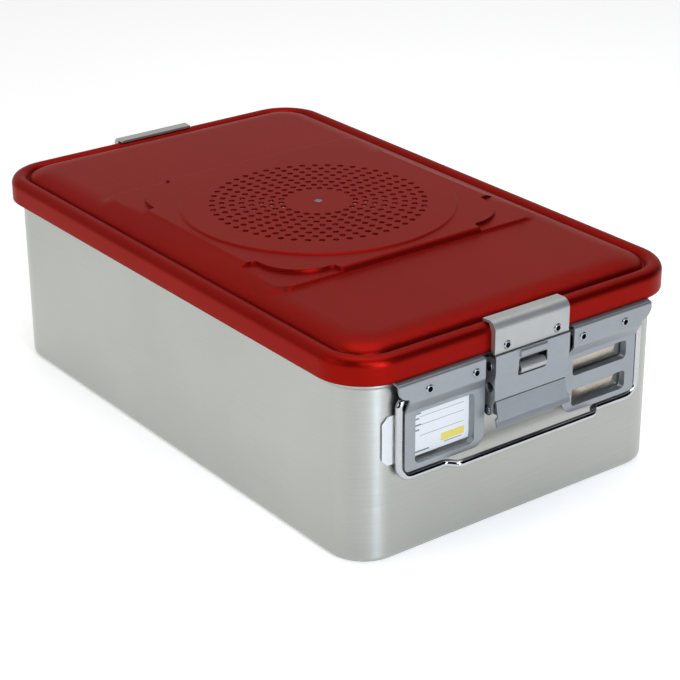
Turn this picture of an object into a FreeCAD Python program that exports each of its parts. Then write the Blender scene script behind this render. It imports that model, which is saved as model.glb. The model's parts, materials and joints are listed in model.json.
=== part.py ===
import FreeCAD, Part
import math
import os

# Sterilization container: a deep drawn tub, a perforated lid and the latch, handle and holders on
# each short end. Millimetres, +Z up, origin at the centre of the base, short ends facing -Y and +Y.

Vector = FreeCAD.Vector
across = Vector(1, 0, 0)
upward = Vector(0, 0, 1)
centre = Vector(0, 0, 0)

# Driving sizes
lid_width = 290.0
lid_length = 465.5
lid_corner = 37.4
sheet = 1.5
rim_top = 144.5
seat_gap = 0.3
pin_play = 0.05

# Tub
tub_inset = 8.0
tub_base_radius = 5.0
rim_step = 1.5
rim_step_low = 17.4
rim_step_high = 15.5

# Lid section, from the skirt inwards
skirt_drop = 11.1
bead_lift = 1.0
bead_radius = 6.4
groove_rise = 1.5
groove_width = 0.8
shoulder_width = 21.0
shoulder_rise = 8.7
flat_corner = 16.0
plateau_half_x = 108.0
plateau_half_y = 110.0
plateau_rise = 4.3
plateau_spread_x = 18.0
plateau_spread_y = 4.0
plateau_corner = 12.0
disc_radius = 102.0
disc_rise = 1.2
pocket_inset = 7.0
pocket_end = 4.0
press_radius = 2.5
pocket_reach = 39.0
pocket_corner = 34.0
pocket_depth = 2.3

# Steam holes in the lid
hole_radius = 2.3
hole_rings = 8
first_ring_holes = 22
more_holes = 4
first_ring = 27.6
ring_step = 7.28

# Filter and its retainer under the lid
stud_radius = 2.5
stud_head_radius = 3.0
stud_head_height = 1.0
stud_length = 16.0
filter_radius = 94.0
filter_thickness = 0.6
retainer_radius = 95.5
retainer_depth = 4.5
retainer_sheet = 1.2
retainer_hole_radius = 4.0
knob_radius = 13.0
knob_height = 7.0
knob_slots = 6

# Lid catch: a formed bracket over the bead, with a tongue that curls under the hook bar
catch_sheet = 2.0
catch_half_width = 32.5
catch_stand = 4.5
catch_over = 8.5
catch_bottom = 12.6
catch_bend = 5.5
catch_rivet_x = 22.0
catch_rivet_drop = 7.7
tongue_half_width = 11.0
tongue_play = 0.6
roll_radius = 3.6
roll_forward = 4.1
roll_play = 0.3

# Latch, in x, in distance out from the tub wall and in drop below the rim
pivot_out = 8.0
pivot_drop = 37.0
link_out = 6.4
link_drop = 53.7
bar_out = 7.5
bar_drop = 21.9
pivot_radius = 2.5
link_radius = 2.2
bar_radius = 2.4
pin_head = 0.8
pin_head_radius = 3.3
base_half_width = 25.0
lever_half_width = 28.0
hook_half_width = 32.5
lever_top_half_width = 30.5
window_half_width = 12.5
window_top_drop = 20.0
window_bottom_drop = 32.5
hook_top_drop = 13.1
hook_bottom_drop = 45.6
lever_top_drop = 46.7
lever_wide_drop = 57.4
lever_tip_drop = 64.0
hook_face_out = 14.0

# Holders beside the latch
holder_inner_x = 35.0
holder_outer_x = 111.0
panel_outer_x = 102.0
strip_out = 11.4
strip_top_drop = 12.6
strip_bottom_drop = 27.4
panel_out = 6.4
panel_top_drop = 36.0
panel_bottom_drop = 79.0
ear_bottom_drop = 24.0
opening_inner_x = 43.5
opening_outer_x = 93.5
opening_top_drop = 38.5
opening_bottom_drop = 75.0
opening_corner = 4.0
flange_sheet = 1.2
flange_end_out = 1.0
slot_height = 13.5
finger_outer_x = 82.5
finger_sheet = 0.9
rivet_x = (47.0, 86.0)
rivet_drop = 21.2

# Blind rivets
rivet_radius = 2.4
rivet_head_radius = 3.3
rivet_head = 0.9
rivet_bore = 1.9
sleeve_radius = 3.2

# Handle
wire_radius = 2.5
handle_out = 4.5
handle_drop = 27.5
handle_leg_gap = 1.0
handle_bar_gap = 2.0
handle_end_reach = 1.5
handle_corner = 10.0
grip_half_width = 60.0
grip_step = 6.5
grip_out = 7.0
lug_x = (92.5, 97.0)
lug_sheet = 1.5
cut_past = 6.0

# Paper card in the label holder
card_thickness = 0.4
card_gap = 0.15
card_end_x = 116.0
card_inner_x = 40.0
card_top_drop = 38.0
card_height = 35.0
card_chamfer = 4.5

tub_width = lid_width - 2 * tub_inset
tub_length = lid_length - 2 * tub_inset
tub_corner = lid_corner - tub_inset
wall_y = tub_length / 2
handle_half_width = panel_outer_x + handle_leg_gap + wire_radius
handle_bar_drop = panel_bottom_drop + handle_bar_gap + wire_radius
handle_end_x = lug_x[0] - handle_end_reach
latch_cut = hook_half_width + cut_past
skirt_bottom = rim_top - skirt_drop
bead_z = rim_top + bead_lift
groove_z = bead_z + groove_rise
groove_inset = 2 * bead_radius + groove_width
flat_z = groove_z + shoulder_rise
plateau_z = flat_z + plateau_rise
disc_z = plateau_z + disc_rise


def at(x, out, drop):
    # A point of the front end: out from the tub wall and down from the rim
    return Vector(x, -(wall_y + out), rim_top - drop)


def corner_arc(before, corner, after, radius):
    towards = (before - corner).normalize()
    onwards = (after - corner).normalize()
    half = towards.getAngle(onwards) / 2
    reach = radius / math.tan(half)
    middle_line = (towards + onwards).normalize()
    arc_centre = corner + middle_line * (radius / math.sin(half))
    middle = arc_centre - middle_line * radius
    return corner + towards * reach, middle, corner + onwards * reach


def rounded_path(points, closed):
    # Straight runs between points, each point rounded by its own radius
    count = len(points)
    entries = []
    arcs = []
    exits = []
    for index, (point, radius) in enumerate(points):
        inner = closed or 0 < index < count - 1
        if radius > 0 and inner:
            before = points[index - 1][0]
            after = points[(index + 1) % count][0]
            start, middle, end = corner_arc(before, point, after, radius)
            entries.append(start)
            arcs.append(Part.Arc(start, middle, end).toShape())
            exits.append(end)
        else:
            entries.append(point)
            arcs.append(None)
            exits.append(point)
    edges = []
    for index in range(count):
        if arcs[index]:
            edges.append(arcs[index])
        if closed or index < count - 1:
            target = entries[(index + 1) % count]
            if (target - exits[index]).Length > 1e-6:
                edges.append(Part.LineSegment(exits[index], target).toShape())
    return Part.Wire(edges)


def side_prism(profile, x0, x1):
    # A profile in (out, drop, radius), drawn across from x0 to x1
    points = [(at(x0, out, drop), radius) for out, drop, radius in profile]
    return Part.Face(rounded_path(points, True)).extrude(across * (x1 - x0))


def front_prism(outline, out0, out1):
    # An outline in (x, drop, radius), drawn outwards from out0 to out1
    points = [(at(x, out0, drop), radius) for x, drop, radius in outline]
    return Part.Face(rounded_path(points, True)).extrude(Vector(0, out0 - out1, 0))


def box_outline(x0, x1, top, bottom, radius):
    return [(x0, top, radius), (x1, top, radius), (x1, bottom, radius), (x0, bottom, radius)]


def sheet_profile(path, thickness):
    # The closed outline of a bent sheet whose middle line is given
    half = thickness / 2
    middle = [Vector(a, b, 0) for a, b, radius in path]
    runs = [(after - before).normalize() for before, after in zip(middle, middle[1:])]
    sides = [Vector(-run.y, run.x, 0) for run in runs]
    left = []
    right = []
    for index, (a, b, radius) in enumerate(path):
        first = sides[max(index - 1, 0)]
        second = sides[min(index, len(sides) - 1)]
        mitre = (first + second).normalize()
        reach = mitre * (half / mitre.dot(first))
        turn = first.x * second.y - first.y * second.x
        grow = 0.0 if radius == 0 else math.copysign(half, turn)
        outer = middle[index] + reach
        inner = middle[index] - reach
        left.append((outer.x, outer.y, max(radius - grow, 0.0)))
        right.append((inner.x, inner.y, max(radius + grow, 0.0)))
    return left + right[::-1]


def cross_rod(radius, x0, x1, out, drop):
    return Part.makeCylinder(radius, x1 - x0, at(x0, out, drop), across)


def out_rod(radius, x, drop, out0, out1):
    return Part.makeCylinder(radius, out1 - out0, at(x, out0, drop), Vector(0, -1, 0))


def both_sides(shape):
    return [shape, shape.mirror(centre, across)]


def joined(shapes):
    return shapes[0].multiFuse(shapes[1:]).removeSplitter()


def rounded_rectangle(inset, z, radius):
    # The lid's outline brought inwards by an inset
    half_x = lid_width / 2 - inset
    half_y = lid_length / 2 - inset
    return rectangle_wire(half_x, half_y, z, radius)


def rectangle_wire(half_x, half_y, z, radius):
    corners = [(half_x, -half_y), (half_x, half_y), (-half_x, half_y), (-half_x, -half_y)]
    return rounded_path([(Vector(x, y, z), radius) for x, y in corners], True)


def ring_sweep(section):
    # A section in the plane y = 0 at the lid's right side, carried round the lid's outline
    half_x = lid_width / 2
    half_y = lid_length / 2
    corners = [(half_x, half_y), (-half_x, half_y), (-half_x, -half_y), (half_x, -half_y)]
    points = [(Vector(half_x, 0, 0), 0)]
    points += [(Vector(x, y, 0), lid_corner) for x, y in corners]
    spine = rounded_path(points, True)
    return Part.Solid(spine.makePipeShell([section], True, False))


def ring_point(inset, z):
    return Vector(lid_width / 2 - inset, 0, z)


def section_wire(points, arcs):
    # Straight runs, apart from those that arcs names by the point they start from
    edges = []
    for index, point in enumerate(points):
        after = points[(index + 1) % len(points)]
        if index in arcs:
            edges.append(Part.Arc(point, arcs[index], after).toShape())
        else:
            edges.append(Part.LineSegment(point, after).toShape())
    return Part.Wire(edges)


def tub_shell():
    step_low = rim_top - rim_step_low
    step_high = rim_top - rim_step_high

    def hollow(grow, floor):
        inset = tub_inset - grow
        radius = tub_corner + grow
        body = Part.Face(rounded_rectangle(inset, floor, radius)).extrude(upward * (step_low - floor))
        bottom = [edge for edge in body.Edges if edge.BoundBox.ZMax < floor + 0.01]
        body = body.makeFillet(tub_base_radius + grow, bottom)
        low = rounded_rectangle(inset, step_low, radius)
        high = rounded_rectangle(inset - rim_step, step_high, radius + rim_step)
        flare = Part.makeLoft([low, high], True, True)
        rim = Part.Face(high).extrude(upward * (rim_top - step_high))
        return joined([body, flare, rim])

    tub = hollow(0.0, 0.0).cut(hollow(-sheet, sheet))
    holes = [out_rod(rivet_radius + pin_play, x, drop, -2 * sheet, 1.0) for x, drop in wall_rivets()]
    front = Part.makeCompound(holes)
    rear = rear_copy(front)
    return tub.cut([front, rear])


def wall_rivets():
    places = [(side * x, rivet_drop) for x in rivet_x for side in (-1, 1)]
    return places + base_rivets()


def base_rivets():
    x = base_half_width - 8.5
    return [(side * x, drop) for side in (-1, 1) for drop in (pivot_drop - 5.5, pivot_drop + 5.0)]


def dome_body(thin, floor):
    # The solid under the lid's shoulder, plateau and disc; thin takes the sheet off it
    steps = 5
    base_radius = lid_corner - groove_inset - thin
    wires = [rounded_rectangle(groove_inset + thin, floor, base_radius)]
    for step in range(steps + 1):
        angle = math.pi / 2 * step / steps
        run = 1 - math.cos(angle)
        inset = groove_inset + thin + (shoulder_width - thin) * run
        z = groove_z - thin + shoulder_rise * math.sin(angle)
        radius = base_radius + (flat_corner - base_radius) * run
        wires.append(rounded_rectangle(inset, z, radius))
    dome = Part.makeLoft(wires, True, False)

    low_z = flat_z - 3.0 - thin
    high_z = plateau_z - thin
    slope = (flat_z - thin - low_z) / plateau_rise + 1
    low = rectangle_wire(plateau_half_x + plateau_spread_x - thin, plateau_half_y + plateau_spread_y * slope
                         - thin, low_z, plateau_corner)
    high = rectangle_wire(plateau_half_x - thin, plateau_half_y - thin, high_z, plateau_corner)
    plateau = Part.makeLoft([low, high], True, True)
    top_edges = [edge for edge in plateau.Edges if edge.BoundBox.ZMin > high_z - 0.01]
    plateau = plateau.makeFillet(press_radius - thin, top_edges)
    height = disc_rise + 1.0
    disc = Part.makeCone(disc_radius + height - thin, disc_radius - thin, height,
                         Vector(0, 0, disc_z - thin - height))
    return joined([dome, plateau, disc])


def corner_pockets(grow, floor):
    # Lowered corners of the plateau, open outwards, which locate a container stacked on top
    outer_x = plateau_half_x + 2 * plateau_spread_x
    outer_y = plateau_half_y + 2 * plateau_spread_x
    inner_x = plateau_half_x - pocket_inset - grow
    inner_y = plateau_half_y - pocket_inset - grow
    end_x = inner_x - pocket_reach
    end_y = inner_y - pocket_reach
    end = pocket_end + grow
    outline = [
        (outer_x, end_y, 0), (outer_x, outer_y, 0), (end_x, outer_y, 0),
        (end_x, inner_y, end), (inner_x, inner_y, pocket_corner - grow), (inner_x, end_y, end)]
    wire = rounded_path([(Vector(x, y, floor), r) for x, y, r in outline], True)
    pocket = Part.Face(wire).extrude(upward * 12)
    mirrored = pocket.mirror(centre, Vector(0, 1, 0))
    return both_sides(pocket) + both_sides(mirrored)


def lid_ring():
    # Skirt, arched bead and groove
    floor_z = groove_z - sheet
    floor_end = groove_inset + sheet
    inner = bead_radius - sheet

    def arch_end(radius, end_z):
        # Where an arch of this radius comes down to a height on its inner side
        rise = end_z - bead_z
        return bead_radius + math.sqrt(radius * radius - rise * rise)

    points = [
        ring_point(0, skirt_bottom), ring_point(0, bead_z),
        ring_point(arch_end(bead_radius, groove_z), groove_z),
        ring_point(floor_end, groove_z), ring_point(floor_end, floor_z),
        ring_point(arch_end(inner, floor_z), floor_z), ring_point(sheet, bead_z),
        ring_point(sheet, skirt_bottom)]
    crest = ring_point(bead_radius, bead_z + bead_radius)
    under_crest = ring_point(bead_radius, bead_z + inner)
    return ring_sweep(section_wire(points, {1: crest, 5: under_crest}))


def lid_shell():
    top = dome_body(0.0, groove_z - sheet)
    hollow = dome_body(sheet, groove_z - sheet - 1.0)
    pocket_floor = plateau_z - pocket_depth
    top = top.cut(corner_pockets(0.0, pocket_floor))
    hollow = hollow.cut(corner_pockets(sheet, pocket_floor - sheet))
    lid = joined([lid_ring(), top.cut(hollow)])
    stud_hole = Part.makeCylinder(stud_radius + pin_play, 20, Vector(0, 0, disc_z - 10))
    rivet_holes = Part.makeCompound([
        out_rod(rivet_radius + pin_play, side * catch_rivet_x, catch_rivet_drop, 0.0, tub_inset + 1)
        for side in (-1, 1)])
    return lid.cut(steam_holes() + [stud_hole, rivet_holes, rear_copy(rivet_holes)])


def steam_holes():
    # Staggered rings of six-sided holes round a blank centre
    low = Vector(0, 0, disc_z - 2 * sheet)
    holes = []
    for ring in range(hole_rings):
        radius = first_ring + ring * ring_step
        count = first_ring_holes + ring * more_holes
        for index in range(count):
            angle = 2 * math.pi * (index + 0.5 * (ring % 2)) / count
            middle = low + Vector(math.cos(angle), math.sin(angle), 0) * radius
            turns = [angle + k * math.pi / 3 for k in range(6)]
            corners = [middle + Vector(math.cos(t), math.sin(t), 0) * hole_radius for t in turns]
            outline = Part.makePolygon(corners + corners[:1])
            holes.append(Part.Face(outline).extrude(upward * 4 * sheet))
    return holes


def lid_gasket():
    # A D-section ring in the bead, just above the tub's rim
    radius = bead_radius - sheet - seat_gap
    low = rim_top + seat_gap
    left = bead_radius - radius
    right = bead_radius + radius
    points = [
        ring_point(left, low), ring_point(left, bead_z),
        ring_point(right, bead_z), ring_point(right, low)]
    return ring_sweep(section_wire(points, {1: ring_point(bead_radius, bead_z + radius)}))


def retainer_stud():
    # Riveted through the lid's centre, with a groove that the knob's spring ring grips
    head = Part.makeSphere(stud_head_radius * 2, centre)
    head.translate(Vector(0, 0, disc_z + stud_head_height - stud_head_radius * 2))
    slab = Part.makeCylinder(stud_head_radius, stud_head_height, Vector(0, 0, disc_z))
    head = head.common(slab)
    low = disc_z - sheet - stud_length
    shank = Part.makeCylinder(stud_radius, disc_z - low, Vector(0, 0, low))
    collar = Part.makeCylinder(stud_head_radius, sheet, Vector(0, 0, disc_z - 2 * sheet))
    groove = Part.makeCylinder(stud_radius + 1, 1.2, Vector(0, 0, low + 2.5))
    groove = groove.cut(Part.makeCylinder(stud_radius - 0.6, 1.2, Vector(0, 0, low + 2.5)))
    return joined([head, shank, collar]).cut(groove)


def filter_sheet():
    # A round paper filter that covers the steam holes from inside
    z = disc_z - 2 * sheet - seat_gap - filter_thickness
    disc = Part.makeCylinder(filter_radius, filter_thickness, Vector(0, 0, z))
    return disc.cut(Part.makeCylinder(stud_radius + 0.5, 5, Vector(0, 0, z - 2)))


def filter_retainer():
    # A dish whose rim holds the filter against the lid
    rim_z = disc_z - 2 * sheet - 2 * seat_gap - filter_thickness
    base_z = rim_z - retainer_depth
    inner = retainer_radius - 8
    outline = [
        (0, base_z), (inner, base_z), (retainer_radius - 3, rim_z - retainer_sheet),
        (retainer_radius, rim_z - retainer_sheet), (retainer_radius, rim_z), (retainer_radius - 4, rim_z),
        (inner - 0.6, base_z + retainer_sheet), (0, base_z + retainer_sheet)]
    points = [Vector(x, 0, z) for x, z in outline]
    dish = Part.Face(Part.makePolygon(points + points[:1])).revolve(centre, upward, 360)
    tools = [Part.makeCylinder(stud_radius + 0.3, 20, Vector(0, 0, base_z - 5))]
    for radius, count in ((32.0, 8), (52.0, 12), (72.0, 16)):
        for index in range(count):
            angle = 2 * math.pi * index / count
            place = Vector(radius * math.cos(angle), radius * math.sin(angle), base_z - 5)
            tools.append(Part.makeCylinder(retainer_hole_radius, 20, place))
    return dish.cut(tools)


def retainer_knob():
    # A turn knob with finger scallops, under the retainer
    base_z = disc_z - 2 * sheet - 2 * seat_gap - filter_thickness - retainer_depth
    knob = Part.makeCylinder(knob_radius, knob_height, Vector(0, 0, base_z - seat_gap - knob_height))
    low = [edge for edge in knob.Edges if edge.BoundBox.ZMax < base_z - knob_height]
    knob = knob.makeFillet(1.5, low)
    tools = [Part.makeCylinder(stud_radius + 0.3, 30, Vector(0, 0, base_z - 20))]
    for index in range(knob_slots):
        angle = 2 * math.pi * index / knob_slots
        place = Vector(math.cos(angle), math.sin(angle), 0) * (knob_radius + 2.5)
        tools.append(Part.makeCylinder(5.0, 30, place + Vector(0, 0, base_z - 20)))
    return knob.cut(tools)


def rear_copy(shape):
    copy = shape.copy()
    copy.rotate(centre, upward, 180)
    return copy


def blind_rivet(x, drop, face_out, back_out, sleeve_from):
    # A hollow rivet: head on the face, bulb behind the back, and a stand-off sleeve if one is asked for
    bulb_end = back_out - 2.0
    shank = out_rod(rivet_radius, x, drop, bulb_end, face_out)
    head = Part.makeCone(rivet_head_radius, rivet_head_radius - 0.7, rivet_head, at(x, face_out, drop),
                         Vector(0, -1, 0))
    bulb = out_rod(rivet_radius + 0.8, x, drop, bulb_end, back_out)
    pieces = [shank, head, bulb]
    if sleeve_from is not None:
        pieces.append(out_rod(sleeve_radius, x, drop, sleeve_from, face_out - sheet))
    return joined(pieces).cut(out_rod(rivet_bore, x, drop, back_out, face_out + 2 * rivet_head))


def lid_catch():
    face = tub_inset + catch_stand
    middle = face - catch_sheet / 2
    crest_drop = rim_top - bead_z - bead_radius - seat_gap - catch_sheet / 2
    path = [
        (tub_inset - catch_over, crest_drop, 0), (middle, crest_drop - 0.8, catch_bend),
        (middle, catch_bottom, 0)]
    cover = side_prism(sheet_profile(path, catch_sheet), -catch_half_width, catch_half_width)
    skirt = tub_inset + seat_gap
    bead_drop = rim_top - bead_z
    cheek = [
        (skirt, catch_bottom - 2.5, 0), (middle, catch_bottom, 0), (middle, bead_drop - 3.0, 0),
        (middle - 2.5, crest_drop + 0.5, 0), (tub_inset - 2.0, crest_drop + 0.3, 0),
        (tub_inset - 2.0, crest_drop + 1.4, 0), (skirt, bead_drop - 1.5, 0)]
    side = side_prism(cheek, catch_half_width - catch_sheet, catch_half_width)
    tongue = sheet_profile(tongue_path(), sheet)
    hook = side_prism(tongue, -tongue_half_width, tongue_half_width)
    rivet_places = (-catch_rivet_x, catch_rivet_x)
    holes = [out_rod(rivet_radius + pin_play, x, catch_rivet_drop, 0, face + 5) for x in rivet_places]
    sleeves = [out_rod(sleeve_radius, x, catch_rivet_drop, tub_inset, middle) for x in rivet_places]
    return joined([cover, hook] + both_sides(side) + sleeves).cut(holes)


def tongue_path():
    # Down behind the hook bar, then out and round into an open roll under it
    back = tub_inset + catch_stand - catch_sheet - sheet / 2
    behind = bar_out - bar_radius - tongue_play - sheet / 2
    roll_out = bar_out + roll_forward
    roll_drop = bar_drop + bar_radius + roll_radius + roll_play
    bend = roll_radius - sheet / 2
    return [
        (back, catch_bottom - 7.5, 0), (back, catch_bottom - 1.1, 2.0), (behind, bar_drop - 4.3, 2.5),
        (behind, roll_drop + bend, 3.0), (roll_out + bend, roll_drop + bend, bend - 0.01),
        (roll_out + bend, roll_drop - bend, bend - 0.01), (roll_out - bend, roll_drop - bend, bend - 0.01),
        (roll_out - bend, roll_drop + 0.3, 0)]


def catch_rivets():
    face = tub_inset + catch_stand
    return [blind_rivet(s * catch_rivet_x, catch_rivet_drop, face, tub_inset - sheet, None) for s in (-1, 1)]


def latch_base():
    # A U bracket on the tub wall; its cheeks carry the pivot pin
    back = side_prism(box_outline(0.1, 0.1 + sheet, pivot_drop - 10, pivot_drop + 9, 0), -base_half_width,
                      base_half_width)
    reach = 3.2
    cheek = [
        (0.1, pivot_drop - 10, 0), (3.5, pivot_drop - 10, 2.5), (pivot_out + reach, pivot_drop - 5.0, 4.0),
        (pivot_out + reach, pivot_drop + 4.5, 4.0), (3.5, pivot_drop + 9, 2.5), (0.1, pivot_drop + 9, 0)]
    side = side_prism(cheek, base_half_width - sheet, base_half_width)
    end = base_half_width + 1
    holes = [cross_rod(pivot_radius + pin_play, -end, end, pivot_out, pivot_drop)]
    holes += [out_rod(rivet_radius + pin_play, x, drop, -1, 5) for x, drop in base_rivets()]
    return joined([back] + both_sides(side)).cut(holes)


def latch_base_rivets():
    return [blind_rivet(x, drop, 0.1 + sheet, -sheet, None) for x, drop in base_rivets()]


def holder_rivets():
    return [blind_rivet(s * x, rivet_drop, strip_out, -sheet, 0.1) for x in rivet_x for s in (-1, 1)]


def pivot_pin():
    end = lever_half_width + 0.3
    pieces = [cross_rod(pivot_radius, -end, end, pivot_out, pivot_drop)]
    pieces += both_sides(cross_rod(pin_head_radius, end, end + pin_head, pivot_out, pivot_drop))
    return joined(pieces)


def link_pins():
    start = lever_half_width - sheet - 0.4
    end = hook_half_width + 0.2
    shank = cross_rod(link_radius, start, end, link_out, link_drop)
    head = cross_rod(pin_head_radius, end, end + pin_head, link_out, link_drop)
    return both_sides(joined([shank, head]))


def hook_bar():
    end = hook_half_width + 0.2
    bar = cross_rod(bar_radius, -end, end, bar_out, bar_drop)
    heads = both_sides(cross_rod(pin_head_radius, end, end + pin_head, bar_out, bar_drop))
    return joined([bar] + heads)


def latch_lever():
    # The flared pull plate, hung on the pivot pin by two inner cheeks
    top = lever_top_drop
    tip = lever_tip_drop
    middle = hook_face_out - 1.75
    path = [(middle, top, 0), (middle + 2.9, tip - 3.5, 6.0), (middle + 4.0, tip, 0)]
    plate = side_prism(sheet_profile(path, sheet), -hook_half_width, hook_half_width)
    narrow = lever_top_half_width
    wide = hook_half_width
    step = lever_wide_drop
    outline = [
        (-narrow, top - 2, 0), (narrow, top - 2, 0), (narrow, step, 0), (wide, step + 1, 0),
        (wide, tip + 3, 0), (-wide, tip + 3, 0), (-wide, step + 1, 0), (-narrow, step, 0)]
    plate = plate.common(front_prism(outline, 0, 2 * hook_face_out))
    upper = 4.8
    lower = 4.4
    cheek = [
        (pivot_out - upper, pivot_drop - upper, 4.5), (pivot_out + 3.3, pivot_drop - upper, 3.0),
        (pivot_out + 3.3, pivot_drop + 7.5, 1.0), (middle, top + 0.5, 0), (middle + 2.6, tip - 4.5, 1.0),
        (link_out + 4.4, link_drop + lower, 3.0), (link_out - lower, link_drop + lower, lower - 0.1)]
    side = side_prism(cheek, lever_half_width - sheet, lever_half_width)
    holes = [cross_rod(pivot_radius + pin_play, -latch_cut, latch_cut, pivot_out, pivot_drop),
             cross_rod(link_radius + pin_play, -latch_cut, latch_cut, link_out, link_drop)]
    return joined([plate] + both_sides(side)).cut(holes)


def latch_hook():
    # The windowed upper plate, whose outer cheeks hold the link pins and the hook bar
    face = hook_face_out - sheet / 2
    path = [
        (face, hook_top_drop, 0), (face, window_top_drop + 6.5, 10.0),
        (face - 0.85, window_bottom_drop - 1.5, 8.0), (face - 0.3, hook_bottom_drop, 0)]
    plate = side_prism(sheet_profile(path, sheet), -hook_half_width, hook_half_width)
    opening = box_outline(-window_half_width, window_half_width, window_top_drop, window_bottom_drop, 1.5)
    window = front_prism(opening, 5, 20)
    lower = 4.4
    front_edge = face - 0.4
    cheek = [
        (link_out - lower, link_drop + lower, lower - 0.1),
        (link_out + lower, link_drop + lower, lower - 0.1),
        (link_out + lower, link_drop - 4.0, 2.0), (front_edge - 0.2, hook_bottom_drop, 0.3),
        (front_edge, hook_top_drop + 2.4, 1.5), (link_out - 3.2, hook_top_drop + 2.4, 4.5)]
    side = side_prism(cheek, hook_half_width - sheet, hook_half_width)
    knuckle = side_prism([
        (face - sheet / 2, hook_top_drop + 0.3, 0), (face + 1.8, hook_top_drop + 0.3, 2.0),
        (face + 1.8, window_top_drop - 0.2, 2.0), (face - sheet / 2, window_top_drop - 0.2, 0)],
        -window_half_width + 0.8, window_half_width - 0.8)
    holes = [cross_rod(pivot_radius + 1.0, -latch_cut, latch_cut, pivot_out, pivot_drop),
             cross_rod(link_radius + pin_play, -latch_cut, latch_cut, link_out, link_drop),
             cross_rod(bar_radius + pin_play, -latch_cut, latch_cut, bar_out, bar_drop)]
    return joined([plate.cut(window), knuckle] + both_sides(side)).cut(holes)


def holder_sheet():
    # The bent sheet of a holder at +X: top, strip, sloping band and panel, with the lugs for the handle
    strip = strip_out - sheet / 2
    panel = panel_out - sheet / 2
    path = [
        (rim_step + 1.1, strip_top_drop - 1.0, 0), (strip, strip_top_drop + sheet / 2, 1.3),
        (strip, strip_bottom_drop, 3.0), (panel, panel_top_drop, 5.0), (panel, panel_bottom_drop, 0)]
    bent = side_prism(sheet_profile(path, sheet), holder_inner_x, holder_outer_x)
    outline = [
        (holder_inner_x, 0, 0), (holder_outer_x, 0, 0), (holder_outer_x, ear_bottom_drop, 8.0),
        (panel_outer_x, ear_bottom_drop, 1.5), (panel_outer_x, panel_bottom_drop, 3.5),
        (holder_inner_x, panel_bottom_drop, 9.0)]
    bent = bent.common(front_prism(outline, 0, 2 * strip_out))
    lug = [
        (0.15, handle_drop - 5, 0), (strip, handle_drop - 5, 0), (strip, handle_drop - 0.5, 0),
        (panel + 0.8, handle_drop + 5, 0), (0.15, handle_drop + 5, 0)]
    lugs = [side_prism(lug, x, x + lug_sheet) for x in lug_x]
    bore = cross_rod(wire_radius + pin_play, lug_x[0] - cut_past, holder_outer_x + cut_past,
                     handle_out, handle_drop)
    holes = [out_rod(rivet_radius + pin_play, x, rivet_drop, 0, 20) for x in rivet_x]
    return joined([bent] + [piece.cut(bore) for piece in lugs]).cut(holes)


def flanged_opening(x0, x1, top, bottom, radius):
    # The cutter of an opening in the panel, and the flange turned in round its edge
    inner = front_prism(box_outline(x0, x1, top, bottom, radius), 0, 2 * panel_out)
    grown = box_outline(x0 - flange_sheet, x1 + flange_sheet, top - flange_sheet, bottom + flange_sheet,
                        radius + flange_sheet)
    ring = front_prism(grown, flange_end_out, panel_out - sheet / 2)
    return inner, ring


def label_holder():
    opening, flange = flanged_opening(opening_inner_x, opening_outer_x, opening_top_drop, opening_bottom_drop,
                                      opening_corner)
    return joined([holder_sheet(), flange]).cut(opening).mirror(centre, across)


def tag_holder():
    # Two openings, each with a spring finger that leans in from its top edge
    pieces = [holder_sheet()]
    openings = []
    fingers = []
    for top in (opening_top_drop, opening_bottom_drop - slot_height):
        opening, flange = flanged_opening(opening_inner_x, opening_outer_x, top, top + slot_height,
                                          opening_corner - 1)
        pieces.append(flange)
        openings.append(opening)
        lean = [(panel_out - sheet / 2, top - 0.5, 0), (panel_out - sheet / 2, top + 1.0, 1.5),
                (flange_end_out + 0.9, top + slot_height - 2.5, 0)]
        finger = side_prism(sheet_profile(lean, finger_sheet), opening_inner_x - 0.5, finger_outer_x)
        sag = top + slot_height - 2.5
        left = at(opening_inner_x - 0.5, 0, sag - 2.0)
        right = at(finger_outer_x, 0, sag - 3.5)
        low = at((opening_inner_x + finger_outer_x) / 2, 0, sag)
        ceiling = [at(finger_outer_x, 0, top - 1), at(opening_inner_x - 0.5, 0, top - 1)]
        edges = [
            Part.Arc(left, low, right).toShape(), Part.LineSegment(right, ceiling[0]).toShape(),
            Part.LineSegment(ceiling[0], ceiling[1]).toShape(),
            Part.LineSegment(ceiling[1], left).toShape()]
        outline = Part.Face(Part.Wire(edges)).extrude(Vector(0, -2 * panel_out, 0))
        fingers.append(finger.common(outline))
    return joined([joined(pieces).cut(openings)] + fingers)


def handle():
    # One bent wire: two ends in the lugs, two legs and a bar whose middle stands off the wall
    bar = handle_out + grip_out
    bends = [
        (handle_end_x, handle_out, handle_drop, 0), (handle_half_width, handle_out, handle_drop, 5.0),
        (handle_half_width, handle_out, handle_bar_drop, handle_corner),
        (grip_half_width + grip_step, handle_out, handle_bar_drop, 6.0),
        (grip_half_width, bar, handle_bar_drop, 6.0)]
    route = bends + [(-x, out, drop, radius) for x, out, drop, radius in bends[::-1]]
    spine = rounded_path([(at(x, out, drop), radius) for x, out, drop, radius in route], False)
    circle = Part.Wire(Part.Circle(at(handle_end_x, handle_out, handle_drop), across, wire_radius).toShape())
    return Part.Solid(spine.makePipeShell([circle], True, False))


def label_card():
    x0 = -card_end_x
    low = card_top_drop + card_height
    cut = card_chamfer
    outline = [
        (x0, card_top_drop + cut, 0), (x0 + cut, card_top_drop, 0), (-card_inner_x, card_top_drop, 0),
        (-card_inner_x, low, 0), (x0 + cut, low, 0), (x0, low - cut, 0)]
    return front_prism(outline, card_gap, card_gap + card_thickness)


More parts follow.
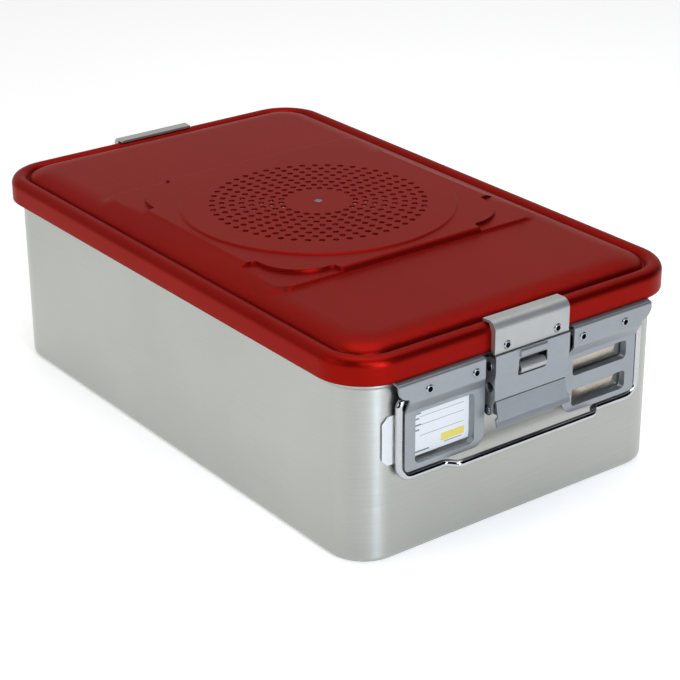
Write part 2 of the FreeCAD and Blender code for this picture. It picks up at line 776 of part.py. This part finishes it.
end_parts = {
    "lid_catch": lid_catch, "catch_rivets": catch_rivets, "label_holder": label_holder,
    "tag_holder": tag_holder, "holder_rivets": holder_rivets, "handle": handle, "latch_base": latch_base,
    "latch_base_rivets": latch_base_rivets, "pivot_pin": pivot_pin, "latch_lever": latch_lever,
    "link_pins": link_pins, "latch_hook": latch_hook, "hook_bar": hook_bar, "label_card": label_card}

parts = {
    "tub_shell": tub_shell(), "lid_shell": lid_shell(), "lid_gasket": lid_gasket(),
    "retainer_stud": retainer_stud(), "filter_sheet": filter_sheet(), "filter_retainer": filter_retainer(),
    "retainer_knob": retainer_knob()}
for name, make in end_parts.items():
    shape = make()
    if isinstance(shape, list):
        shape = Part.makeCompound(shape)
    parts["front_" + name] = shape
    parts["rear_" + name] = rear_copy(shape)

os.makedirs("parts", exist_ok=True)
for name, shape in parts.items():
    print(name, shape.isValid(), len(shape.Solids), round(shape.Volume))
    shape.exportStep("parts/" + name + ".step")
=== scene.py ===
import bpy
import bmesh
import json
import math
from mathutils import Matrix, Vector

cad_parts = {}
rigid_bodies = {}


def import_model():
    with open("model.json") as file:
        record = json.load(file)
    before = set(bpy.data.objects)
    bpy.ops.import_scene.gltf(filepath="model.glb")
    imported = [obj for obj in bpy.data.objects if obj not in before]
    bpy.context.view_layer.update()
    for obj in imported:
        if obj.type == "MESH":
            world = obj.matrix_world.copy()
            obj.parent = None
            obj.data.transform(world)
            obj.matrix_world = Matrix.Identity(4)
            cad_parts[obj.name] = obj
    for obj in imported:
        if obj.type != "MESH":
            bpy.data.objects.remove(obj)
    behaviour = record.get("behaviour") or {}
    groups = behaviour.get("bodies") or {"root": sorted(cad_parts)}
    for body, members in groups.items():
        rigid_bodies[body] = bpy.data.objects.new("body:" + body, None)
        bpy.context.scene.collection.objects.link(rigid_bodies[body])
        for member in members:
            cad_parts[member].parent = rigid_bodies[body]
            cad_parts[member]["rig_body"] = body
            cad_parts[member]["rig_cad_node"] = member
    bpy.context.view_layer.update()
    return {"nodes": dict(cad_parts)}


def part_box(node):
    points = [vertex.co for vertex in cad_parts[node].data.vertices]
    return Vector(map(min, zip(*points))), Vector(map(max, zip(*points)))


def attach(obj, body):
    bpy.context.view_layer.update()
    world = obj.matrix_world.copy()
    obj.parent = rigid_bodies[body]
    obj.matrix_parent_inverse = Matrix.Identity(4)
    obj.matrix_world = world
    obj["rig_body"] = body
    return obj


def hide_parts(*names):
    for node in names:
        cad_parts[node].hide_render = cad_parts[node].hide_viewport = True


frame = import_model()
nodes = frame["nodes"]
mm = 0.001  # sizes below are millimetres, the scene is in metres
bpy.context.scene.view_settings.view_transform = "Standard"
print("frame loaded:", len(nodes), "nodes")


# Camera, at the height and turn of the photograph
cameraView = {
    "place": (-817.6, -1121.5, 680.5), "azimuth": -36.725, "elevation": 24.492, "roll": -0.385,
    "lens": 106.05, "sensor": 36, "seesUpTo": 30}


def makeCamera(view):
    turn = math.radians(view["azimuth"])
    tilt = math.radians(view["elevation"])
    roll = math.radians(view["roll"])
    back = Vector((math.sin(turn) * math.cos(tilt), -math.cos(turn) * math.cos(tilt), math.sin(tilt)))
    level = Vector((math.cos(turn), math.sin(turn), 0))
    upright = back.cross(level)
    right = level * math.cos(roll) + upright * math.sin(roll)
    up = upright * math.cos(roll) - level * math.sin(roll)
    lens = bpy.data.cameras.new("camera")
    lens.lens = view["lens"]
    lens.sensor_width = view["sensor"]
    lens.clip_end = view["seesUpTo"]  # metres
    camera = bpy.data.objects.new("camera", lens)
    bpy.context.scene.collection.objects.link(camera)
    turned = Matrix((right, up, back)).transposed().to_4x4()
    camera.matrix_world = Matrix.Translation(Vector(view["place"]) * mm) @ turned
    bpy.context.scene.camera = camera


makeCamera(cameraView)
print("camera placed")


# Materials
def linear(hexText):
    # an sRGB hex colour as the linear colour that the shaders read
    values = [int(hexText[i:i + 2], 16) / 255 for i in (1, 3, 5)]
    return [v / 12.92 if v <= 0.04045 else ((v + 0.055) / 1.055) ** 2.4 for v in values] + [1]


def addNode(tree, kind, settings=(), links=()):
    # settings name a property or an input, links name an input
    node = tree.nodes.new("ShaderNode" + kind)
    for key, value in dict(settings).items():
        if isinstance(key, int) or key in node.inputs:
            node.inputs[key].default_value = value
        else:
            setattr(node, key, value)
    for key, socket in dict(links).items():
        tree.links.new(socket, node.inputs[key])
    return node


def setRamp(ramp, spread, dark, light):
    # a ramp from dark to light, between two values of what it reads
    for element, position, colour in zip(ramp.color_ramp.elements, spread, (dark, light)):
        element.position = position
        element.color = linear(colour)


def startMaterial(name, settings):
    material = bpy.data.materials.new(name)
    material.use_nodes = True
    tree = material.node_tree
    tree.nodes.clear()
    shader = addNode(tree, "BsdfPrincipled", settings)
    addNode(tree, "OutputMaterial", links={"Surface": shader.outputs[0]})
    return material, tree, shader


noiseSpread = {"metal": (0.3, 0.7), "plain": (0.35, 0.65)}  # most of a noise lies between these
grainHeight = 0.05 * mm
bevelSamples = 4
quarterTurn = 0.25  # in whole turns, so the sheen stretches across the brushing


def grainedMetal(name, finish):
    # metal with a drawn-out grain: colour, roughness and height follow one stretched noise
    tint = linear(finish.get("edgeTint", "#ffffff"))
    material, tree, shader = startMaterial(name, {"Metallic": finish["metallic"], "Specular Tint": tint})
    place = addNode(tree, "TexCoord").outputs["Object"]
    stretch = addNode(tree, "Mapping", {"Scale": finish["stretch"]}, {"Vector": place})
    grainScale = 1 / (finish["grainWidth"] * mm)
    grain = addNode(tree, "TexNoise", {"Scale": grainScale, "Detail": 4, "Roughness": 0.6},
                    {"Vector": stretch.outputs[0]})
    cloudScale = 1 / (finish["cloudWidth"] * mm)
    cloud = addNode(tree, "TexNoise", {"Scale": cloudScale, "Detail": 2}, {"Vector": place})
    both = addNode(tree, "Mix", {"Factor": finish["cloudShare"]},
                   {"A": grain.outputs[0], "B": cloud.outputs[0]})
    colour = addNode(tree, "ValToRGB", links={"Fac": both.outputs[0]})
    setRamp(colour, noiseSpread["metal"], finish["dark"], finish["light"])
    fromLow, fromHigh = noiseSpread["metal"]
    smoothest, roughest = finish["roughness"]
    rough = addNode(tree, "MapRange", {"From Min": fromLow, "From Max": fromHigh, "To Min": smoothest,
                                       "To Max": roughest}, {"Value": grain.outputs[0]})
    edge = addNode(tree, "Bevel", {"samples": bevelSamples, "Radius": finish["edge"] * mm})
    bump = addNode(tree, "Bump", {"Strength": finish["bump"], "Distance": grainHeight},
                   {"Height": grain.outputs[0], "Normal": edge.outputs[0]})
    for key, socket in (("Base Color", colour.outputs[0]), ("Roughness", rough.outputs[0]),
                        ("Normal", bump.outputs[0])):
        tree.links.new(socket, shader.inputs[key])
    if "brushedRound" in finish:
        shader.inputs["Anisotropic"].default_value = finish["brushedRound"]
        shader.inputs["Anisotropic Rotation"].default_value = quarterTurn
        tangent = addNode(tree, "Tangent", {"direction_type": "RADIAL", "axis": "Z"})
        tree.links.new(tangent.outputs[0], shader.inputs["Tangent"])
    return material


# Dyed anodised aluminium: dull on its flats, a bright satin sheen on its rounded bends
redFinish = {
    "metallic": 0.9, "dark": "#860a04", "light": "#900d05", "roughness": (0.36, 0.44), "grainWidth": 0.8,
    "stretch": (1, 1, 1), "cloudWidth": 120, "cloudShare": 0.5, "edge": 3.0, "bump": 0.10,
    "edgeTint": "#f2d6d2"}
redAnodised = grainedMetal("dyedAnodisedAluminium", redFinish)
redPunched = grainedMetal("punchedDyedAluminium", {**redFinish, "edge": 0.2})  # crisp at the punched holes
# The hole walls get a lighter, less metallic copy of the red: painted light for the lit far walls of the
# holes
redHoleWallPaintedLight = grainedMetal("dyedAluminiumHoleWallPaintedLight", {  # hole walls, a little brighter as in the photograph
    **redFinish, "edge": 0.1, "metallic": 0.75, "dark": "#981408", "light": "#ac1e10"})

# Clear anodised drawn aluminium, taken as brushed round the box, so that highlights spread upright
clearAnodised = grainedMetal("clearAnodisedAluminium", {
    "metallic": 1.0, "dark": "#abada8", "light": "#b9bbb5", "roughness": (0.30, 0.42), "grainWidth": 1.0,
    "stretch": (0.03, 0.03, 1), "cloudWidth": 90, "cloudShare": 0.4, "edge": 0.4, "bump": 0.25,
    "brushedRound": 0.7})

# Pressed stainless sheet, fine ground: cool grey with soft reflections
pressedSteel = grainedMetal("pressedStainlessSteel", {
    "metallic": 0.7, "dark": "#909497", "light": "#9b9fa2", "roughness": (0.33, 0.40), "grainWidth": 0.5,
    "stretch": (0.1, 1, 1), "cloudWidth": 40, "cloudShare": 0.5, "edge": 0.5, "bump": 0.04})

# Stainless sheet of the catch, a lighter and duller copy of the same sheet: painted light, matched to its
# tone. Stainless sheet of the catch, lighter and duller: matched by eye to its tone, whose cause is a
# guess
catchSteelPaintedLight = grainedMetal("stainlessSteelCatchPaintedLight", {
    "metallic": 0.7, "dark": "#a9aaa8", "light": "#b6b6b3", "roughness": (0.36, 0.46), "grainWidth": 0.5,
    "stretch": (0.3, 1, 1), "cloudWidth": 14, "cloudShare": 0.5, "edge": 0.5, "bump": 0.08})

# Turned and headed stainless steel of pins and rivets: a little brighter than the sheet
turnedSteel = grainedMetal("turnedStainlessSteel", {
    "metallic": 1.0, "dark": "#969da4", "light": "#aab0b6", "roughness": (0.18, 0.28), "grainWidth": 0.4,
    "stretch": (1, 1, 1), "cloudWidth": 20, "cloudShare": 0.3, "edge": 0.25, "bump": 0.05})

# Electropolished stainless wire: near mirror, with slight draw marks along it
polishedWire = grainedMetal("electropolishedStainlessWire", {
    "metallic": 1.0, "dark": "#aeb1b3", "light": "#c2c4c5", "roughness": (0.07, 0.13), "grainWidth": 0.6,
    "stretch": (0.1, 1, 1), "cloudWidth": 30, "cloudShare": 0.3, "edge": 0.2, "bump": 0.03})


def plainSurface(name, finish):
    # a non-metal with a soft mottled colour and a fine height
    material, tree, shader = startMaterial(name, {"Roughness": finish["roughness"]})
    place = addNode(tree, "TexCoord").outputs["Object"]
    grainScale = 1 / (finish["grainWidth"] * mm)
    grain = addNode(tree, "TexNoise", {"Scale": grainScale, "Detail": 5}, {"Vector": place})
    colour = addNode(tree, "ValToRGB", links={"Fac": grain.outputs[0]})
    setRamp(colour, noiseSpread["plain"], finish["dark"], finish["light"])
    bump = addNode(tree, "Bump", {"Strength": finish["bump"], "Distance": grainHeight},
                   {"Height": grain.outputs[0]})
    tree.links.new(colour.outputs[0], shader.inputs["Base Color"])
    tree.links.new(bump.outputs[0], shader.inputs["Normal"])
    return material


# Brushed steel of the tag fingers with a straw tint: a painted warm reflection. Brushed steel of
# the tag fingers, taken as tempered for its straw tint, which may be a reflection
fingerSteelPaintedReflection = grainedMetal("springSteelPaintedWarmReflection", {
    "metallic": 1.0, "dark": "#a2998a", "light": "#c8c0b0", "roughness": (0.24, 0.36), "grainWidth": 0.6,
    "stretch": (1, 1, 0.08), "cloudWidth": 25, "cloudShare": 0.5, "edge": 0.3, "bump": 0.08})

# The stud's head, taken as tumbled aluminium: dull and grey
dullAluminium = grainedMetal("tumbledAluminium", {
    "metallic": 0.8, "dark": "#6f6a68", "light": "#8c8886", "roughness": (0.5, 0.62), "grainWidth": 0.4,
    "stretch": (1, 1, 1), "cloudWidth": 10, "cloudShare": 0.3, "edge": 0.3, "bump": 0.2})

# Coated card, moulded seal, creped paper with a rough crinkle, moulded plastic and two flat inks
cardStock = plainSurface("smoothCardStock", {
    "dark": "#e4e5e2", "light": "#ebebe9", "roughness": 0.55, "grainWidth": 0.6, "bump": 0.15})
siliconeRubber = plainSurface("mouldedSilicone", {
    "dark": "#c9c6bd", "light": "#d2cfc6", "roughness": 0.5, "grainWidth": 1.5, "bump": 0.1})
filterPaper = plainSurface("crepedFilterPaper", {
    "dark": "#e6e4dd", "light": "#f2f0ea", "roughness": 0.9, "grainWidth": 0.9, "bump": 0.9})
mouldedPlastic = plainSurface("mouldedPolyphenylsulfone", {
    "dark": "#2c2d30", "light": "#34363a", "roughness": 0.42, "grainWidth": 0.7, "bump": 0.2})
greyInk = plainSurface("offsetInkGrey", {
    "dark": "#6f7276", "light": "#85888c", "roughness": 0.5, "grainWidth": 0.3, "bump": 0.02})
yellowInk = plainSurface("offsetInkYellow", {
    "dark": "#e3cf52", "light": "#ecdc74", "roughness": 0.5, "grainWidth": 0.3, "bump": 0.02})

print("materials made:", len(bpy.data.materials))


# Helpers for modelling
meshing = {"mergeWithin": 0.002, "flatWithin": 0.5}  # mm and degrees
finishing = {"smoothUpTo": 32, "breakFrom": 40, "faceWeight": 80}  # degrees, and 50 would be even weights


def deselectAll():
    if bpy.context.mode != "OBJECT":
        bpy.ops.object.mode_set(mode="OBJECT")
    bpy.ops.object.select_all(action="DESELECT")


def selectOnly(obj):
    deselectAll()
    obj.select_set(True)
    bpy.context.view_layer.objects.active = obj


def applyModifier(obj, kind, **settings):
    selectOnly(obj)
    modifier = obj.modifiers.new(kind.lower(), kind)
    for key, value in settings.items():
        setattr(modifier, key, value)
    bpy.ops.object.modifier_apply(modifier=modifier.name)


def mergedCopy(nodeName, pieceName):
    # a CAD node's mesh as a new object, its loose triangles merged
    selectOnly(nodes[nodeName])
    bpy.ops.object.duplicate()
    piece = bpy.context.active_object
    piece.name = pieceName
    piece.data.name = pieceName
    piece.parent = None
    bpy.ops.object.mode_set(mode="EDIT")
    bpy.ops.mesh.select_all(action="SELECT")
    bpy.ops.mesh.customdata_custom_splitnormals_clear()
    bpy.ops.mesh.remove_doubles(threshold=meshing["mergeWithin"] * mm)
    bpy.ops.mesh.dissolve_limited(angle_limit=math.radians(meshing["flatWithin"]))
    bpy.ops.object.mode_set(mode="OBJECT")
    return piece


def finishPiece(piece, material, edgeWidth=0):
    # broken edges where a width is given, smooth shading and one material
    if edgeWidth:
        applyModifier(piece, "BEVEL", width=edgeWidth * mm, segments=2, limit_method="ANGLE",
                      angle_limit=math.radians(finishing["breakFrom"]), use_clamp_overlap=True)
    selectOnly(piece)
    bpy.ops.object.shade_smooth_by_angle(angle=math.radians(finishing["smoothUpTo"]))
    applyModifier(piece, "WEIGHTED_NORMAL", keep_sharp=True, weight=finishing["faceWeight"])
    piece.data.materials.clear()
    piece.data.materials.append(material)
    deselectAll()


def standIn(piece, nodeName):
    # the piece takes the node's place on the node's own body
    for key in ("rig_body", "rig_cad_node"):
        if key in piece:
            del piece[key]
    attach(piece, nodes[nodeName]["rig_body"])
    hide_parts(nodeName)


# Lid: the drawn cover, its steam holes round and set in staggered rings round the stud
lidSheet = {
    "discTop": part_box("lid_shell")[1][2] / mm, "sheet": 1.5, "discRadius": 102.0, "holeRadius": 2.35,
    "firstRing": 27.6, "ringStep": 7.28, "rings": 8, "firstHoles": 22, "moreHoles": 4, "staggerRay": -128.0,
    "studRadius": 2.55, "facets": 16, "studFacets": 24, "cutterLength": 8.0, "punchedRadius": 90.0,
    "near": 0.05, "uprightBelow": 0.5}


def holeCutters(lid):
    # one pin for each ring, spun round the lid's centre
    deselectAll()
    middle = lid["discTop"] - lid["sheet"] / 2
    bpy.ops.mesh.primitive_cylinder_add(vertices=lid["studFacets"], radius=lid["studRadius"] * mm,
                                        depth=lid["cutterLength"] * mm, location=(0, 0, middle * mm))
    cutter = bpy.context.active_object
    cutter.name = "holeCutters"
    bpy.ops.object.transform_apply(location=True, rotation=True, scale=True)
    bpy.ops.object.mode_set(mode="EDIT")
    for ring in range(lid["rings"]):
        radius = lid["firstRing"] + ring * lid["ringStep"]
        count = lid["firstHoles"] + ring * lid["moreHoles"]
        angle = math.radians(lid["staggerRay"]) + math.pi / count * (ring % 2)
        spot = (radius * math.cos(angle) * mm, radius * math.sin(angle) * mm, middle * mm)
        bpy.ops.mesh.select_all(action="DESELECT")
        bpy.ops.mesh.primitive_cylinder_add(vertices=lid["facets"], radius=lid["holeRadius"] * mm,
                                            depth=lid["cutterLength"] * mm, location=spot)
        bpy.ops.mesh.spin(steps=count - 1, dupli=True, angle=2 * math.pi * (count - 1) / count,
                          center=(0, 0, 0), axis=(0, 0, 1))
    bpy.ops.object.mode_set(mode="OBJECT")
    return cutter


def makeLid(lid):
    # the disc's two faces with their holes go, plain faces close it, and round holes are cut anew
    piece = mergedCopy("lid_shell", "lidCover")
    bpy.ops.object.mode_set(mode="EDIT")
    bpy.ops.mesh.select_mode(type="FACE")
    bpy.ops.mesh.select_all(action="DESELECT")
    mesh = bmesh.from_edit_mesh(piece.data)
    reach = (lid["discRadius"] + lid["near"]) * mm
    low = (lid["discTop"] - lid["sheet"] - lid["near"]) * mm
    high = (lid["discTop"] + lid["near"]) * mm
    for face in mesh.faces:
        inside = all(v.co.xy.length < reach and v.co.z > low for v in face.verts)
        if inside and face.calc_center_median().z < high:
            face.select = True
    bmesh.update_edit_mesh(piece.data)
    bpy.ops.mesh.delete(type="FACE")
    for height in (lid["discTop"], lid["discTop"] - lid["sheet"]):
        bpy.ops.mesh.select_mode(type="EDGE")
        bpy.ops.mesh.select_all(action="DESELECT")
        mesh = bmesh.from_edit_mesh(piece.data)
        for edge in mesh.edges:
            if edge.is_boundary and all(abs(v.co.z - height * mm) < lid["near"] * mm for v in edge.verts):
                edge.select = True
        bmesh.update_edit_mesh(piece.data)
        bpy.ops.mesh.edge_face_add()
    bpy.ops.mesh.select_all(action="SELECT")
    bpy.ops.mesh.normals_make_consistent(inside=False)
    bpy.ops.object.mode_set(mode="OBJECT")
    cutter = holeCutters(lid)
    applyModifier(piece, "BOOLEAN", operation="DIFFERENCE", object=cutter, solver="EXACT")
    bpy.data.objects.remove(cutter)
    finishPiece(piece, redAnodised)
    piece.data.materials.append(redPunched)
    piece.data.materials.append(redHoleWallPaintedLight)
    # the upright faces in the punched field, the hole walls, get the red copy with painted light
    for face in piece.data.polygons:
        if face.center.xy.length < lid["punchedRadius"] * mm:
            face.material_index = 2 if abs(face.normal.z) < lid["uprightBelow"] else 1
    standIn(piece, "lid_shell")


makeLid(lidSheet)
print("lid done")


# Tub and hardware: the CAD shapes with merged, smooth-shaded meshes
tubPiece = mergedCopy("tub_shell", "drawnTub")
finishPiece(tubPiece, clearAnodised)
standIn(tubPiece, "tub_shell")

# node: piece, material, slot and width of its broken edges
dressed = {
    "lid_catch": ("CatchBracket", catchSteelPaintedLight, "hardware", 0.3),
    "label_holder": ("LabelFrame", pressedSteel, "hardware", 0.3),
    "tag_holder": ("TagFrame", pressedSteel, "hardware", 0.3),
    "handle": ("WireHandle", polishedWire, "wire", 0),
    "latch_base": ("LatchBracket", pressedSteel, "hardware", 0.2),
    "latch_lever": ("PullLever", pressedSteel, "hardware", 0.3),
    "latch_hook": ("HookPlate", pressedSteel, "hardware", 0.3),
    "catch_rivets": ("CatchRivets", turnedSteel, "rivet", 0.15),
    "holder_rivets": ("HolderRivets", turnedSteel, "rivet", 0.15),
    "latch_base_rivets": ("BracketRivets", turnedSteel, "rivet", 0.15),
    "pivot_pin": ("PivotPin", turnedSteel, "pin", 0.2),
    "link_pins": ("LinkPins", turnedSteel, "pin", 0.2),
    "hook_bar": ("HookBar", turnedSteel, "pin", 0.2)}
tagFingers = {"left": 43.0, "right": 83.0, "behindStrip": 6.2, "leastTurn": 0.5}


def paintFingerReflection(piece, facing, fingers):
    # the leaning faces of the tag fingers get the straw-coloured steel, a painted warm reflection
    piece.data.materials.append(fingerSteelPaintedReflection)
    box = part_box(("front" if facing < 0 else "rear") + "_tag_holder")
    panel = abs(box[0][1] if facing < 0 else box[1][1]) - fingers["behindStrip"] * mm
    for face in piece.data.polygons:
        outward = face.normal.y * facing > fingers["leastTurn"]
        between = fingers["left"] < abs(face.center.x) / mm < fingers["right"]
        if outward and between and abs(face.center.y) < panel:
            face.material_index = 1


# the strips end further from the latch than the panels below them
stripCut = {"below": 29.5, "inner": 35.0, "near": 0.1, "by": 4.0}


def cutStripBack(piece, cut):
    # the strip's end beside the latch moves outwards, so that the hook's cheek shows
    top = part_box("tub_shell")[1][2] - cut["below"] * mm
    for side in (-1, 1):
        selectOnly(piece)
        bpy.ops.object.mode_set(mode="EDIT")
        bpy.ops.mesh.select_mode(type="VERT")
        bpy.ops.mesh.select_all(action="DESELECT")
        mesh = bmesh.from_edit_mesh(piece.data)
        for vertex in mesh.verts:
            near = abs(vertex.co.x * side - cut["inner"] * mm) < cut["near"] * mm
            vertex.select = near and vertex.co.z > top
        bmesh.update_edit_mesh(piece.data)
        bpy.ops.transform.translate(value=(side * cut["by"] * mm, 0, 0))
        bpy.ops.object.mode_set(mode="OBJECT")


for end, facing in (("front", -1), ("rear", 1)):
    for nodeName, (pieceName, material, slotName, edgeWidth) in dressed.items():
        piece = mergedCopy(end + "_" + nodeName, end + pieceName)
        if nodeName in ("label_holder", "tag_holder"):
            cutStripBack(piece, stripCut)
        finishPiece(piece, material, edgeWidth=edgeWidth)
        if nodeName == "tag_holder":
            paintFingerReflection(piece, facing, tagFingers)
        standIn(piece, end + "_" + nodeName)
print("hardware done")

# Print on the label cards: writing lines (left, right, height), short marks beside them (width, height),
# a thin line under the colour bar, and the bar (left, right, low, high)
cardPrint = {
    "lineWidth": 0.35, "proud": 0.03, "lines": ((-85, -48, 98.8), (-85, -48, 92.8), (-85, -48, 85.0)),
    "markHeight": 1.1, "markLeft": -93.0,
    "marks": ((9.0, 100.8), (7.5, 97.2), (9.0, 92.6), (7.5, 89.0), (2.5, 85.2), (3.5, 82.6), (16.0, 73.4)),
    "underBar": (-64.5, -49.5, 74.4), "bar": (-67.0, -47.5, 75.9, 81.3)}


def printedPatches(pieceName, patches, front, material):
    # flat rectangles of ink, each (left, right, low, high), on the card's front face
    deselectAll()
    bpy.ops.mesh.primitive_plane_add(size=mm, location=(0, 0, 0))
    piece = bpy.context.active_object
    piece.name = pieceName
    bpy.ops.object.mode_set(mode="EDIT")
    bpy.ops.mesh.delete(type="VERT")
    for left, right, low, high in patches:
        spot = ((left + right) / 2 * mm, front, (low + high) / 2 * mm)
        bpy.ops.mesh.primitive_plane_add(size=mm, location=spot, rotation=(math.pi / 2, 0, 0))
        bpy.ops.transform.resize(value=(right - left, 1, high - low), center_override=spot)
        bpy.ops.mesh.select_all(action="DESELECT")
    bpy.ops.object.mode_set(mode="OBJECT")
    piece.data.materials.append(material)
    return piece


def turnedCopy(piece, pieceName):
    # the same piece for the rear end, turned half a turn about the upright axis
    selectOnly(piece)
    bpy.ops.object.duplicate()
    copy = bpy.context.active_object
    copy.name = pieceName
    bpy.ops.object.mode_set(mode="EDIT")
    bpy.ops.mesh.select_all(action="SELECT")
    bpy.ops.transform.rotate(value=math.pi, orient_axis="Z", center_override=(0, 0, 0))
    bpy.ops.object.mode_set(mode="OBJECT")
    return copy


def makeCardPrint(prints):
    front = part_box("front_label_card")[0][1] - prints["proud"] * mm
    half = prints["lineWidth"] / 2
    patches = [(left, right, z - half, z + half) for left, right, z in prints["lines"]]
    patches += [(prints["markLeft"], prints["markLeft"] + width, z, z + prints["markHeight"])
                for width, z in prints["marks"]]
    left, right, z = prints["underBar"]
    patches.append((left, right, z, z + prints["markHeight"] / 2))
    inks = (("CardLines", patches, greyInk), ("CardBar", [prints["bar"]], yellowInk))
    for name, shapes, material in inks:
        inked = printedPatches("front" + name, shapes, front, material)
        copy = turnedCopy(inked, "rear" + name)
        for piece, end in ((inked, "front"), (copy, "rear")):
            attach(piece, end + "_card")


makeCardPrint(cardPrint)
print("cards printed")

# Nodes that stay as the CAD gives them and only get their material
plainNodes = {
    "lid_gasket": siliconeRubber, "retainer_stud": dullAluminium, "filter_sheet": filterPaper,
    "filter_retainer": pressedSteel, "retainer_knob": mouldedPlastic,
    "front_label_card": cardStock, "rear_label_card": cardStock}
for nodeName, material in plainNodes.items():
    mesh = nodes[nodeName].data
    mesh.materials.clear()
    mesh.materials.append(material)


# Studio, in metres: a white sweep, a room that metal sees as light behind the box and dark before it, and
# soft lamps. The camera alone sees the room as white.
studio = {
    "floorHalf": 6.0, "floorColour": "#f2f2f2", "floorGlow": 0.40,
    "lightSide": (0.25, 0.80, 0.55), "nearDark": "#101216", "farLight": "#ffffff",
    "darkToLight": (0.30, 0.66), "strength": 0.72, "lampsAimAt": (0, 0, 0.1)}
white = (1, 1, 1, 1)


def makeFloor(studio):
    deselectAll()
    bpy.ops.mesh.primitive_plane_add(size=2 * studio["floorHalf"], location=(0, 0, 0))
    floor = bpy.context.active_object
    floor.name = "floor"
    material = bpy.data.materials.new("paperSweep")
    material.use_nodes = True
    tree = material.node_tree
    tree.nodes.clear()
    diffuse = addNode(tree, "BsdfDiffuse", {"Color": linear(studio["floorColour"])})
    path = addNode(tree, "LightPath")
    seen = addNode(tree, "Math", {"operation": "MAXIMUM"},
                   {0: path.outputs["Is Camera Ray"], 1: path.outputs["Is Glossy Ray"]})
    glow = addNode(tree, "Emission", {"Color": white})
    strength = addNode(tree, "Math", {"operation": "MULTIPLY", 1: studio["floorGlow"]},
                       {0: seen.outputs[0]})
    tree.links.new(strength.outputs[0], glow.inputs["Strength"])
    mixed = addNode(tree, "AddShader", links={0: diffuse.outputs[0], 1: glow.outputs[0]})
    addNode(tree, "OutputMaterial", links={"Surface": mixed.outputs[0]})
    floor.data.materials.append(material)


def makeWorld(studio):
    world = bpy.data.worlds.new("studio")
    bpy.context.scene.world = world
    world.use_nodes = True
    tree = world.node_tree
    tree.nodes.clear()
    path = addNode(tree, "LightPath")
    place = addNode(tree, "TexCoord").outputs["Generated"]
    side = addNode(tree, "VectorMath", {"operation": "DOT_PRODUCT", 1: studio["lightSide"]}, {0: place})
    ramp = addNode(tree, "ValToRGB", links={"Fac": side.outputs["Value"]})
    setRamp(ramp, studio["darkToLight"], studio["nearDark"], studio["farLight"])
    lit = addNode(tree, "Background", {"Strength": studio["strength"]}, {"Color": ramp.outputs[0]})
    seen = addNode(tree, "Background", {"Strength": 1.0, "Color": white})
    choice = addNode(tree, "MixShader", links={0: path.outputs["Is Camera Ray"], 1: lit.outputs[0],
                                               2: seen.outputs[0]})
    addNode(tree, "OutputWorld", links={"Surface": choice.outputs[0]})


lamps = {
    "overheadSoftbox": {"place": (0.1, -0.1, 1.9), "size": (1.6, 1.6), "watts": 13, "colour": "#ffffff"},
    "leftSoftbox": {"place": (-1.8, 0.2, 0.9), "size": (1.2, 1.0), "watts": 6, "colour": "#fffaf4"},
    "frontStrip": {"place": (-0.28, -1.9, 0.6), "size": (0.35, 1.0), "watts": 20, "colour": "#dde9ff"},
    "frontSoftbox": {"place": (-0.7, -1.7, 1.5), "size": (0.9, 0.7), "watts": 10, "colour": "#fffaf4"}}


def makeLamp(name, lamp, aim):
    light = bpy.data.lights.new(name, "AREA")
    light.shape = "RECTANGLE"
    light.size, light.size_y = lamp["size"]
    light.energy = lamp["watts"]
    light.color = linear(lamp["colour"])[:3]
    obj = bpy.data.objects.new(name, light)
    bpy.context.scene.collection.objects.link(obj)
    obj.location = lamp["place"]
    obj.rotation_euler = (Vector(aim) - obj.location).to_track_quat("-Z", "Y").to_euler()


makeFloor(studio)
makeWorld(studio)
for name, lamp in lamps.items():
    makeLamp(name, lamp, studio["lampsAimAt"])
print("studio made")
